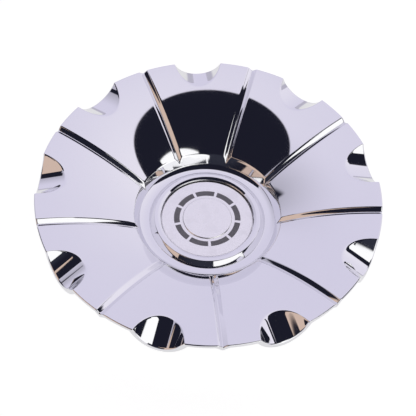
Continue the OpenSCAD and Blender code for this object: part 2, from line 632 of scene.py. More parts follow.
    def groove(self, u: np.ndarray, v: np.ndarray, below: float) -> np.ndarray:
        """Height of the flanks of the groove that runs along u."""
        half = math.radians(self.groove_half_angle)
        reach = self.groove_arc_r - below / math.sin(half)
        gx, gz = self.groove_centre
        rise = np.sqrt(np.maximum(reach**2 - (u - gx) ** 2, 1.0))
        flank = reach / (math.tan(half) * rise)
        width = np.sqrt(v * v + self.crease**2) - self.crease * 0.5
        return gz + rise + width * flank

    def pocket(self, u: np.ndarray, v: np.ndarray, below: float) -> np.ndarray:
        """Height of the scoop that runs along u, and a high value beside it."""
        slope = math.radians(self.pocket_slope)
        inside = (self.pocket_r + below) ** 2 - v * v
        axis_z = self.rim_z - self.pocket_d + self.pocket_r / math.cos(slope)
        axis_z = axis_z + (self.cap_r - u) * math.tan(slope)
        low = axis_z - np.sqrt(np.maximum(inside, 0.0)) / math.cos(slope)
        return np.where((inside > 0.0) & (u > self.step_r), low, axis_z + self.cap_r)

    def height(self, x: np.ndarray, y: np.ndarray, below: float) -> np.ndarray:
        """Height of the front or rear surface over one sector centred on a groove.

        Args:
            x: Places along the groove.
            y: Places across it.
            below: 0 for the front, or the wall thickness for the rear.

        Returns:
            The heights.
        """
        z = self.plain(np.hypot(x, y), below)
        grooved = soft_low(z, self.groove(x, y, below), self.groove_edge)
        if below:
            grooved = soft_high(grooved, np.full_like(z, self.floor_z), self.foot_round)
        half = math.pi / self.sectors
        side = np.where(y < 0, -1.0, 1.0)
        u = x * math.cos(half) + y * side * math.sin(half)
        v = -x * math.sin(half) + y * side * math.cos(half)
        return soft_low(grooved, self.pocket(u, v, below), self.pocket_edge)

    def facing(self, x: np.ndarray, y: np.ndarray, below: float) -> np.ndarray:
        """Outward normals of the height field, as radial, tangential and axial parts."""
        e = 0.01
        dx = (self.height(x + e, y, below) - self.height(x - e, y, below)) / (2 * e)
        dy = (self.height(x, y + e, below) - self.height(x, y - e, below)) / (2 * e)
        r = np.hypot(x, y)
        radial, tangential = (dx * x + dy * y) / r, (dy * x - dx * y) / r
        normal = np.stack([-radial, -tangential, np.ones_like(x)], axis=1)
        normal /= np.linalg.norm(normal, axis=1, keepdims=True)
        return -normal if below else normal


class Draft:
    """Vertices, faces and the wanted normal at each face corner, gathered before a mesh is written."""

    def __init__(self) -> None:
        """Starts empty."""
        self.points: list[np.ndarray] = []
        self.faces: list[tuple[int, ...]] = []
        self.facing: list[Sequence[float]] = []
        self.count = 0

    def add_points(self, points: np.ndarray) -> int:
        """Adds vertices and returns the number of the first."""
        first = self.count
        self.points.append(np.asarray(points, float))
        self.count += len(points)
        return first

    def add_face(self, corners: Sequence[int], facing: Sequence[Sequence[float]]) -> None:
        """Adds a face, leaving out corners that repeat the one before."""
        kept = [i for i in range(len(corners)) if corners[i] != corners[i - 1]]
        if len(kept) > 2:
            self.faces.append(tuple(corners[i] for i in kept))
            self.facing.extend(facing[i] for i in kept)

    def add_turned(self, line: "Section", angles: Sequence[float]) -> None:
        """Turns a section about the axis.

        Args:
            line: The section, run so that the outside is on its right, seen with the radius to the right.
            angles: Angles of the columns in radians.
        """
        columns = []
        for a in angles:
            points = [(r * math.cos(a), r * math.sin(a), z) for r, z in line.points]
            columns.append(self.add_points(np.array(points)))
        for here, there in zip(columns, columns[1:]):
            for i, (start, end) in enumerate(line.normals):
                n0, n1 = (start[0], 0.0, start[1]), (end[0], 0.0, end[1])
                corners, normals = [here + i, there + i, there + i + 1, here + i + 1], [n0, n0, n1, n1]
                if line.points[i + 1][0] < AXIS:
                    corners, normals = corners[:2] + corners[3:], [n0, n0, n1]
                elif line.points[i][0] < AXIS:
                    corners, normals = [corners[0], *corners[2:]], [n0, n1, n1]
                self.add_face(corners, normals)

    def add_wall(self, outline: Sequence[Point], angle: float, side: int) -> None:
        """Adds a flat wall in the plane of one angle.

        Args:
            outline: Corners as radius and height, in the order of the faces that it joins.
            angle: Angle of the plane in radians.
            side: 1 where the wall faces along the turn, or -1.
        """
        points = [(r * math.cos(angle), r * math.sin(angle), z) for r, z in outline]
        first = self.add_points(np.array(points))
        flat = [Vector((r, z, 0.0)) for r, z in outline]
        made = delaunay_2d_cdt([p.xy for p in flat], [], [list(range(len(flat)))], 1, 1e-7)
        for face in made[2]:
            ring = [first + made[3][i][0] for i in face]
            area = sum(
                outline[a - first][0] * outline[b - first][1] - outline[b - first][0] * outline[a - first][1]
                for a, b in zip(ring, ring[1:] + ring[:1])
            )
            # A face that runs anticlockwise in radius and height faces against the turn
            if (area > 0) == (side > 0):
                ring.reverse()
            self.add_face(ring, [(0.0, float(side), 0.0)] * len(ring))

    def build(self, name: str) -> bpy.types.Object:
        """Writes the mesh in metres, with the wanted normals as a corner attribute."""
        mesh = bpy.data.meshes.new(name)
        mesh.from_pydata((np.concatenate(self.points) * MM).tolist(), [], self.faces)
        layer = mesh.attributes.new(FACING, "FLOAT_VECTOR", "CORNER")
        layer.data.foreach_set("vector", np.asarray(self.facing, np.float32).ravel())
        mesh.polygons.foreach_set("use_smooth", [True] * len(mesh.polygons))
        return bpy.data.objects.new(name, mesh)


class Section:
    """A line in radius and height, with the normals at both ends of each of its segments."""

    def __init__(self, start: Point) -> None:
        """Starts the line at a point."""
        self.points: list[Point] = [start]
        self.normals: list[tuple[Point, Point]] = []

    @staticmethod
    def normal_of(a: Point, b: Point) -> Point:
        """Normal on the outer side of a segment."""
        length = math.hypot(b[0] - a[0], b[1] - a[1])
        return (b[1] - a[1]) / length, (a[0] - b[0]) / length

    def straight(self, end: Point, steps: int = 1) -> "Section":
        """Adds a straight stretch."""
        start = self.points[-1]
        flat = self.normal_of(start, end)
        for i in range(1, steps + 1):
            self.points.append(self.between(start, end, i / steps))
            self.normals.append((flat, flat))
        return self

    def rounded(self, corner: Point, after: Point, radius: float, steps: int) -> "Section":
        """Goes towards a corner, and round it towards the next point.

        Args:
            corner: The sharp corner.
            after: A point that the line makes for after it.
            radius: Distance from the corner at which the round starts and ends.
            steps: Segments of the round.

        Returns:
            This section.
        """
        before = self.points[-1]
        first = self.towards(corner, before, radius)
        last = self.towards(corner, after, radius)
        if math.hypot(first[0] - before[0], first[1] - before[1]) > 1e-6:
            self.straight(first)
        start, end = self.normal_of(first, corner), self.normal_of(corner, last)
        bow, turns = [], []
        for i in range(steps + 1):
            t = i / steps
            bow.append(
                tuple(first[k] * (1 - t) ** 2 + 2 * corner[k] * t * (1 - t) + last[k] * t * t for k in (0, 1))
            )
            turns.append(self.unit(*(start[k] * (1 - t) + end[k] * t for k in (0, 1))))
        self.points += bow[1:]
        self.normals += zip(turns, turns[1:])
        return self

    def corners(self, stops: Sequence[tuple[Point, float, int]], after: Point) -> "Section":
        """Goes round a row of corners.

        Args:
            stops: Each corner, with the radius and the segments of its round.
            after: A point that the line makes for after the last corner.

        Returns:
            This section.
        """
        nexts = [corner for corner, _, _ in stops[1:]] + [after]
        for (corner, radius, steps), end in zip(stops, nexts):
            self.rounded(corner, end, radius, steps)
        return self

    def curve(self, points: Sequence[Point]) -> "Section":
        """Adds a smooth line of points, the first of which is where the line stands."""
        line = [self.points[-1], *points]
        flat = [self.normal_of(a, b) for a, b in zip(line, line[1:])]
        for i in range(len(flat)):
            before = flat[max(i - 1, 0)]
            after = flat[min(i + 1, len(flat) - 1)]
            start = self.unit(before[0] + flat[i][0], before[1] + flat[i][1])
            end = self.unit(after[0] + flat[i][0], after[1] + flat[i][1])
            self.points.append(line[i + 1])
            self.normals.append((start, end))
        return self

    @staticmethod
    def unit(a: float, b: float) -> Point:
        """Scales a pair to length 1."""
        size = math.hypot(a, b)
        return a / size, b / size

    @staticmethod
    def towards(start: Point, end: Point, distance: float) -> Point:
        """Gives the point a distance from start towards end."""
        length = math.hypot(end[0] - start[0], end[1] - start[1])
        return Section.between(start, end, min(distance / length, 0.5))

    @staticmethod
    def between(start: Point, end: Point, share: float) -> Point:
        """Gives the point that lies a share of the way from start to end."""
        return start[0] + (end[0] - start[0]) * share, start[1] + (end[1] - start[1]) * share


# Repeating and bending by Geometry Nodes


class NodeTree:
    """A Geometry Nodes tree under construction."""

    def __init__(self, name: str, inputs: Sequence[tuple[str, str]]) -> None:
        """Makes the tree and its named inputs.

        Args:
            name: Name of the tree.
            inputs: Name and kind of socket of each input after the geometry.
        """
        self.tree = bpy.data.node_groups.new(name, "GeometryNodeTree")
        face = self.tree.interface
        face.new_socket("Geometry", in_out="INPUT", socket_type="NodeSocketGeometry")
        self.identifiers: dict[str, str] = {}
        for title, kind in inputs:
            made = face.new_socket(title, in_out="INPUT", socket_type="NodeSocket" + kind)
            self.identifiers[title] = made.identifier
        face.new_socket("Geometry", in_out="OUTPUT", socket_type="NodeSocketGeometry")
        self.given = self.tree.nodes.new("NodeGroupInput")

    def add(self, kind: str, settings: Values = None, inputs: Values = None) -> Any:
        """Adds a node with its settings and its inputs, by name or number."""
        node = self.tree.nodes.new(kind)
        for key, value in (settings or {}).items():
            setattr(node, key, value)
        for key, value in (inputs or {}).items():
            if isinstance(value, bpy.types.NodeSocket):
                self.tree.links.new(value, node.inputs[key])
            else:
                node.inputs[key].default_value = value
        return node

    def math(self, operation: str, first: Any, second: Any) -> bpy.types.NodeSocket:
        """Adds a Math node."""
        return self.add("ShaderNodeMath", {"operation": operation}, {0: first, 1: second}).outputs[0]

    def ring(self, shape: Any, count: Any, turn: Any) -> bpy.types.NodeSocket:
        """Repeats a shape round the axis and makes it real.

        Args:
            shape: Geometry socket of one shape.
            count: How often it stands round the axis.
            turn: Angle of the first one in radians.

        Returns:
            The geometry of the whole ring.
        """
        line = self.add("GeometryNodeMeshLine", inputs={"Count": count, "Offset": (0.0, 0.0, 0.0)})
        index = self.add("GeometryNodeInputIndex").outputs[0]
        step = self.math("DIVIDE", 2.0 * math.pi, count)
        angle = self.math("ADD", self.math("MULTIPLY", index, step), turn)
        rotation = self.add("ShaderNodeCombineXYZ", inputs={2: angle})
        placed = self.add(
            "GeometryNodeInstanceOnPoints",
            inputs={"Points": line.outputs[0], "Instance": shape, "Rotation": rotation.outputs[0]},
        )
        return self.add("GeometryNodeRealizeInstances", inputs={0: placed.outputs[0]}).outputs[0]

    def finish(self, geometry: Any, material: Any, weld: Any = None) -> None:
        """Welds, sets the material and ends the tree."""
        if weld is not None:
            welded = {"Geometry": geometry, "Distance": weld}
            geometry = self.add("GeometryNodeMergeByDistance", inputs=welded).outputs[0]
        real = self.add("GeometryNodeRealizeInstances", inputs={0: geometry}).outputs[0]
        dressed = self.add("GeometryNodeSetMaterial", inputs={"Geometry": real, "Material": material})
        self.add("NodeGroupOutput", inputs={0: dressed.outputs[0]})

    def bake(self, source: bpy.types.Object, values: dict[str, Any], name: str) -> bpy.types.Object:
        """Runs the tree on an object and keeps the result as a plain mesh.

        Args:
            source: Object whose mesh goes into the tree.
            values: Values of the named inputs.
            name: Name of the new object.

        Returns:
            A new object with the result.
        """
        bpy.context.scene.collection.objects.link(source)
        modifier = source.modifiers.new("rings", "NODES")
        modifier.node_group = self.tree
        for title, value in values.items():
            modifier[self.identifiers[title]] = value
        graph = bpy.context.evaluated_depsgraph_get()
        mesh = bpy.data.meshes.new_from_object(source.evaluated_get(graph), depsgraph=graph)
        source.modifiers.remove(modifier)
        bpy.data.objects.remove(source)
        mesh.name = name
        made = bpy.data.objects.new(name, mesh)
        bpy.context.scene.collection.objects.link(made)
        return made


def ring_tree() -> NodeTree:
    """Makes the tree that repeats one sector round the axis."""
    tree = NodeTree(
        "sectors_round_axis",
        [("Count", "Int"), ("Turn", "Float"), ("Weld", "Float"), ("Finish", "Material")],
    )
    out = tree.given.outputs
    tree.finish(tree.ring(out["Geometry"], out["Count"], out["Turn"]), out["Finish"], out["Weld"])
    return tree


def shell_tree() -> NodeTree:
    """Makes the tree that welds the face sectors and the leg sectors into one moulding."""
    tree = NodeTree(
        "moulding_from_sectors",
        [("Leg Sector", "Object"), ("Sectors", "Int"), ("Legs", "Int"), ("Leg Turn", "Float"),
         ("Weld", "Float"), ("Finish", "Material")],
    )
    out = tree.given.outputs
    leg = tree.add("GeometryNodeObjectInfo", inputs={"Object": out["Leg Sector"]})
    face = tree.ring(out["Geometry"], out["Sectors"], 0.0)
    hub = tree.ring(leg.outputs["Geometry"], out["Legs"], out["Leg Turn"])
    both = tree.add("GeometryNodeJoinGeometry")
    tree.tree.links.new(face, both.inputs[0])
    tree.tree.links.new(hub, both.inputs[0])
    tree.finish(both.outputs[0], out["Finish"], out["Weld"])
    return tree


def wire_tree() -> NodeTree:
    """Makes the tree that bends a round wire along an open ring."""
    tree = NodeTree(
        "bent_wire",
        [("Ring Radius", "Float"), ("Wire Radius", "Float"), ("Start", "Float"), ("Sweep", "Float"),
         ("Height", "Float"), ("Steps", "Int"), ("Finish", "Material")],
    )
    out = tree.given.outputs
    path = tree.add(
        "GeometryNodeCurveArc",
        inputs={"Resolution": out["Steps"], "Radius": out["Ring Radius"], "Start Angle": out["Start"],
                "Sweep Angle": out["Sweep"]},
    )
    profile = {"Resolution": WIRE_SIDES, "Radius": out["Wire Radius"]}
    round_wire = tree.add("GeometryNodeCurvePrimitiveCircle", inputs=profile)
    swept = tree.add(
        "GeometryNodeCurveToMesh",
        inputs={"Curve": path.outputs[0], "Profile Curve": round_wire.outputs[0], "Fill Caps": True},
    )
    lift = tree.add("ShaderNodeCombineXYZ", inputs={2: out["Height"]})
    moved = {"Geometry": swept.outputs[0], "Offset": lift.outputs[0]}
    placed = tree.add("GeometryNodeSetPosition", inputs=moved)
    tree.finish(placed.outputs[0], out["Finish"])
    return tree


def settle_normals(piece: bpy.types.Object) -> None:
    """Gives a baked mesh the normals that its corner attribute asks for."""
    mesh = piece.data
    corners = len(mesh.loops)
    wanted = np.empty(corners * 3, np.float32)
    mesh.attributes[FACING].data.foreach_get("vector", wanted)
    radial, tangential, axial = wanted.reshape(-1, 3).astype(float).T
    owner = np.empty(corners, np.int32)
    mesh.loops.foreach_get("vertex_index", owner)
    places = np.empty(len(mesh.vertices) * 3, np.float32)
    mesh.vertices.foreach_get("co", places)
    places = places.reshape(-1, 3)[owner]
    turn = np.arctan2(places[:, 1], places[:, 0])
    c, s = np.cos(turn), np.sin(turn)
    normals = np.stack([radial * c - tangential * s, radial * s + tangential * c, axial], 1)
    mesh.attributes.remove(mesh.attributes[FACING])
    mesh.normals_split_custom_set(normals.tolist())


# The pieces


@dataclass
class ShellSector:
    """Draws one face sector and one leg sector of the moulding."""

    shape: CapShape = field(default_factory=CapShape)
    grid: float = 1.1
    rear_grid: float = 1.9
    edge_step: float = 0.7
    # Distances of the rows of points beside an edge, and beside the crease of a groove
    strip: tuple[float, ...] = (-0.75, -0.45, -0.2, 0.0, 0.2, 0.45, 0.75)
    crease_strip: tuple[float, ...] = (-0.25, 0.0, 0.25)
    # Free distances: from the border, from other edges, and along a side from the end of an edge
    margin: float = 0.35
    apart: float = 0.3
    side_gap: float = 1.0
    # How far and how finely the edges of grooves and pockets are looked for
    groove_search: float = 16.0
    search_steps: int = 400
    pocket_search: float = 24.0
    pocket_step: float = 0.05
    pocket_tip: float = 0.02
    past_rim: float = 1.0
    rim_columns: int = 101
    rim_gap: float = 0.22
    least_rim_gap: float = 0.6
    # Free distances of the even points, as shares of the grid
    even_from_strip: float = 0.45
    even_from_border: float = 0.5

    @property
    def half(self) -> float:
        """Half of a sector in radians."""
        return math.pi / self.shape.sectors

    def edge_of(self, u: float, below: float, pocket: bool) -> float | None:
        """Finds how far from its middle line a groove or pocket meets the face.

        Args:
            u: Distance along the middle line.
            below: 0 for the front, or the wall thickness for the rear.
            pocket: Whether the pocket is meant and not the groove.

        Returns:
            The distance across, or None where there is no cut.
        """
        s = self.shape
        reach = s.pocket_r + below - 1e-3 if pocket else self.groove_search
        v = np.linspace(0.0, reach, self.search_steps)
        cut = (s.pocket if pocket else s.groove)(np.full_like(v, u), v, below)
        over = cut - s.plain(np.hypot(u, v), below)
        if over[0] >= 0 or over[-1] < 0:
            return None if over[0] >= 0 else reach
        i = int(np.argmax(over >= 0))
        return float(v[i - 1] + (v[i] - v[i - 1]) * -over[i - 1] / (over[i] - over[i - 1]))

    def edge_lines(self, below: float) -> list[np.ndarray]:
        """Gives the feature lines of a sector as rows of points in the plane."""
        s = self.shape
        along = np.arange(s.step_foot[0], s.cap_r + self.past_rim, self.edge_step)
        groove = [(u, self.edge_of(float(u), below, False)) for u in along]
        groove = [(u, v) for u, v in groove if v is not None]
        lines = [np.array([(u, 0.0) for u, _ in groove])]
        lines += [np.array([(u, side * v) for u, v in groove]) for side in (-1, 1)]
        fine = np.arange(s.cap_r - self.pocket_search, s.cap_r + self.past_rim, self.pocket_step)
        pocket = [(u, self.edge_of(float(u), below, True)) for u in fine]
        pocket = np.array([(u, v) for u, v in pocket if v is not None])
        if len(pocket):
            pocket = np.vstack([[pocket[0][0] - self.pocket_tip, 0.0], pocket])
            length = np.concatenate([[0.0], np.cumsum(np.linalg.norm(np.diff(pocket, axis=0), axis=1))])
            even = np.arange(0.0, length[-1], self.edge_step)
            pocket = np.stack([np.interp(even, length, pocket[:, k]) for k in (0, 1)], 1)
            c, n = math.cos(self.half), math.sin(self.half)
            for side in (-1, 1):
                u, v = pocket[:, 0], -pocket[:, 1]
                x, y = u * c - v * n, side * (u * n + v * c)
                lines.append(np.stack([x, y], 1))
        edge = s.mitre(below)[0]
        turns = np.linspace(-self.half, self.half, round(2 * self.half * edge / self.edge_step))
        lines.append(np.stack([edge * np.cos(turns), edge * np.sin(turns)], 1))
        return lines

    def rim_angles(self) -> np.ndarray:
        """Gives the angles of the rim's columns, closer together at the ends of the cuts."""
        s = self.shape
        base = np.linspace(-self.half, self.half, self.rim_columns)
        extra = []
        for below in (0.0, s.wall):
            groove = self.edge_of(s.cap_r, below, False) or 0.0
            pocket = self.edge_of(s.cap_r, below, True) or 0.0
            for step in self.strip[1:-1]:
                extra += [(groove + step) / s.cap_r, self.half - (pocket + step) / s.cap_r]
        extra = np.array(extra + [-a for a in extra])
        gap = self.rim_gap / s.cap_r
        kept = []
        for a in base:
            fixed = abs(abs(a) - self.half) < 1e-9 or abs(a) < 1e-9
            if fixed or np.abs(extra - a).min() > gap:
                kept.append(a)
        out = []
        for a in sorted([*kept, *extra]):
            if not out or a - out[-1] > gap * self.least_rim_gap:
                out.append(float(a))
        out[0], out[-1] = -self.half, self.half
        return np.array(out)

    def columns(self) -> np.ndarray:
        """Gives the angles of the columns of the cup, one for each degree."""
        return np.linspace(-self.half, self.half, round(math.degrees(2 * self.half)) + 1)

    def border(self, lines: list[np.ndarray], rows: np.ndarray, angles: np.ndarray) -> list[Point]:
        """Gives the border of a sheet, from its outer edge round to its right side.

        Args:
            lines: The feature lines of the sector.
            rows: Radii from the inner to the outer edge.
            angles: Angles of the columns at the outer edge.

        Returns:
            Points in the plane.
        """
        half, inner, outer = self.half, rows[0], rows[-1]
        # The two radial sides have points closer together where a pocket or the step crosses them
        radial = list(rows[1:-1])
        for knot in (lines[3][0], lines[-1][0]):
            apex = float(np.hypot(*knot))
            radial = [r for r in radial if abs(r - apex) > self.side_gap]
            radial = sorted(radial + [apex + d for d in self.strip if inner < apex + d < outer])
        ring = [(outer * math.cos(a), outer * math.sin(a)) for a in angles]
        left = [(r * math.cos(half), r * math.sin(half)) for r in reversed(radial)]
        near = [(inner * math.cos(a), inner * math.sin(a)) for a in self.columns()[::-1]]
        right = [(r * math.cos(half), -r * math.sin(half)) for r in radial]
        return ring + left + near + right

    def sheet(self, draft: Draft, below: float, inner: float, size: float, angles: np.ndarray) -> None:
        """Adds the front or rear sheet of a sector.

        Args:
            draft: Where the faces go.
            below: 0 for the front, or the wall thickness for the rear.
            inner: Radius of its inner edge.
            size: Size of the round between its outer edge and the rim.
            angles: Angles of its columns at the outer edge.
        """
        half, outer = self.half, self.shape.cap_r - size
        grid = self.rear_grid if below else self.grid
        lines = self.edge_lines(below)
        rows = np.linspace(inner, outer, round((outer - inner) / grid) + 1)
        border = self.border(lines, rows, angles)
        points = [Vector(p) for p in border]
        edges: list[tuple[int, int]] = []
        all_line = np.vstack(lines)

        def inside(p: np.ndarray, slack: float) -> bool:
            """Tells whether a point is well inside the sector."""
            r = math.hypot(*p)
            off = half - abs(math.atan2(p[1], p[0]))
            return inner + slack < r < outer - slack and r * math.sin(max(off, 0.0)) > slack

        # Rows of points along both sides of each edge
        for number, line in enumerate(lines):
            tangent = np.gradient(line, axis=0)
            tangent /= np.linalg.norm(tangent, axis=1, keepdims=True)
            across = np.stack([-tangent[:, 1], tangent[:, 0]], 1)
            offsets = self.strip if number else self.crease_strip
            others = np.vstack([ln for k, ln in enumerate(lines) if k != number])
            for offset in offsets:
                before = None
                for p in line + across * offset:
                    near_other = np.linalg.norm(others - p, axis=1).min()
                    if not inside(p, self.margin) or near_other < self.apart:
                        before = None
                        continue
                    points.append(Vector(p))
                    here = len(points) - 1
                    if before is not None and offset == 0.0:
                        edges.append((before, here))
                    before = here
        # Even points elsewhere
        clear_of = max(self.strip) + grid * self.even_from_strip
        for number, r in enumerate(rows[1:-1]):
            count = max(int(round(2 * half * r / grid)), 4)
            shift = 0.5 if number % 2 else 0.0
            for k in range(count):
                a = -half + 2 * half * (k + shift) / count
                p = np.array([r * math.cos(a), r * math.sin(a)])
                clear = np.linalg.norm(all_line - p, axis=1).min() > clear_of
                if clear and inside(p, grid * self.even_from_border):
                    points.append(Vector(p))
        made = delaunay_2d_cdt(points, edges, [list(range(len(border)))], 1, 1e-6)
        flat = np.array([tuple(p) for p in made[0]])
        x, y = flat[:, 0], flat[:, 1]
        first = draft.add_points(np.stack([x, y, self.shape.height(x, y, below)], 1))
        facing = self.shape.facing(x, y, below)
        for face in made[2]:
            a, b, c = (flat[i] for i in face)
            turn = (b[0] - a[0]) * (c[1] - a[1]) - (b[1] - a[1]) * (c[0] - a[0])
            order = list(face) if (turn > 0) != bool(below) else list(face)[::-1]
            draft.add_face([first + i for i in order], [facing[i] for i in order])

    def rim(self, draft: Draft, angles: np.ndarray) -> None:
        """Adds the rounded outer edge of a sector."""
        s = self.shape
        rows: list[tuple[np.ndarray, np.ndarray]] = []
        cos, sin = np.cos(angles), np.sin(angles)
        for below, size in ((0.0, s.rim_round), (s.wall, s.rear_round)):
            part = []
            for turn in np.linspace(0.0, 90.0, 5):
                t = math.radians(turn)
                r = s.cap_r - size + size * math.sin(t)
                drop = size * (1 - math.cos(t)) * (1 if below else -1)
                x, y = r * cos, r * sin
                z = s.height(x, y, below) + drop
                n = s.facing(x, y, below) * math.cos(t) + np.array([math.sin(t), 0.0, 0.0])
                n /= np.linalg.norm(n, axis=1, keepdims=True)
                part.append((np.stack([x, y, z], 1), n))
            rows += part if not below else part[::-1]
        first = [draft.add_points(points) for points, _ in rows]
        for (a, (_, na)), (b, (_, nb)) in zip(zip(first, rows), zip(first[1:], rows[1:])):
            for k in range(len(angles) - 1):
                draft.add_face([a + k, b + k, b + k + 1, a + k + 1], [na[k], nb[k], nb[k + 1], na[k + 1]])

    def cup_line(self) -> Section:
        """Gives the section from the foot of the step over the lip to the axis."""
        s = self.shape
        foot, per_mm = s.step_foot, math.tan(math.radians(s.step_slope))
        inner = (s.recess_r + s.lip_inner_w, s.seat_z + s.lip_above_seat)
        mouth = (s.recess_r, inner[1] - s.lip_inner_h)
        crest = (inner[0] + s.lip_top_w, inner[1] + s.lip_rise)
        trough = (crest[0] + s.lip_flank_w, s.seat_z + s.trough_above_seat)
        fall = []
        for t in np.arange(19) / 18:
            r = foot[0] + (trough[0] - foot[0]) * t
            fall.append((r, trough[1] + (foot[1] - trough[1]) * (1 - t) ** 2))
        section = Section((foot[0] + s.inner_step, foot[1] + s.inner_step * per_mm))
        section.rounded(foot, fall[1], s.foot_turn, 4).curve(fall[1:-2])
        rounds = [(trough, s.trough_round, 4), (crest, s.lip_round, 6), (inner, s.lip_round, 6)]
        rounds += [(mouth, s.lip_round / 2, 4), ((s.recess_r, s.seat_z), s.recess_round, 4)]
        axis = (0.0, s.seat_z)
        return section.corners(rounds, axis).straight(axis, 3)

    def face_sector(self) -> bpy.types.Object:
        """Draws face, cup, rim and rear of one sector."""
        s = self.shape
        draft = Draft()
        angles = self.rim_angles()
        self.sheet(draft, 0.0, s.step_foot[0] + s.inner_step, s.rim_round, angles)
        self.rim(draft, angles)
        self.sheet(draft, s.wall, self.underside_r, s.rear_round, angles)
        draft.add_turned(self.cup_line(), self.columns())
        return draft.build("face_sector")

    @property
    def underside_r(self) -> float:
        """Radius at which the rear sheet starts."""
        return self.shape.under_r - self.shape.inner_step

    def leg_sector(self) -> bpy.types.Object:
        """Draws the underside, the spigot and one leg."""
        s = self.shape
        inner = s.spigot_r - s.spigot_wall
        leg_out, leg_in, wire_r = s.leg_outer, s.leg_inner, s.wire_ring_r
        seat = s.wire_d / 2 + s.wire_gap
        reach = math.asin((leg_in - wire_r) / seat)

        def start() -> Section:
            """Runs from the underside down the outside of the spigot to its end."""
            end = (leg_out, s.leg_l)
            rounds = [((s.spigot_r, s.floor_z), s.root_round, 4), ((s.spigot_r, s.leg_l), s.spigot_round, 3)]
            return Section((self.underside_r, s.floor_z)).corners(rounds, end).straight(end)

        plain = start()
        for r, z in ((inner, s.leg_l), (inner, s.floor_z), (leg_in, s.floor_z)):
            plain.straight((r, z))
        plain.straight((0.0, s.floor_z), 3)
        shared = len(start().points)
        barb = [((leg_out + s.barb_h, s.barb_l), s.barb_round, 3)]
        barb += [((leg_out - s.barb_h, 0.0), s.leg_end_round, 3), ((leg_in, 0.0), s.barb_round, 3)]
        leg = start().straight((leg_out, 2 * s.barb_l)).corners(barb, (leg_in, s.wire_z))
        bow, open_half = [], math.pi / 2 - reach
        for i in range(13):
            t = -open_half + 2 * open_half * i / 12
            bow.append((wire_r + seat * math.cos(t), s.wire_z + seat * math.sin(t)))
        leg.straight(bow[0]).curve(bow[1:]).straight((leg_in, s.floor_z))
        ends = len(leg.points)
        leg.straight((0.0, s.floor_z), 3)
        draft = Draft()
        span = round(s.leg_span / 2)
        sector = round(180 / s.legs)
        for line, first, last in ((plain, -sector, -span), (leg, -span, span), (plain, span, sector)):
            draft.add_turned(line, [math.radians(a) for a in range(first, last + 1)])
        outline = leg.points[shared - 1 : ends] + [(inner, s.floor_z), (inner, s.leg_l)]
        draft.add_wall(outline, math.radians(-span), -1)
        draft.add_wall(outline, math.radians(span), 1)
        return draft.build("leg_sector")

    def build(self, finish: bpy.types.Material) -> bpy.types.Object:
        """Makes the whole moulding, which stands for the CAD shell."""
        leg = self.leg_sector()
        bpy.context.scene.collection.objects.link(leg)
        shell = shell_tree().bake(
            self.face_sector(),
            {"Leg Sector": leg, "Sectors": self.shape.sectors, "Legs": self.shape.legs,
             "Leg Turn": math.radians(self.shape.leg_turn), "Weld": WELD, "Finish": finish},
            "chrome_shell",
        )
        bpy.data.objects.remove(leg)
        settle_normals(shell)
        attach(shell, BODY)
        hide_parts("cap_shell")
        return shell


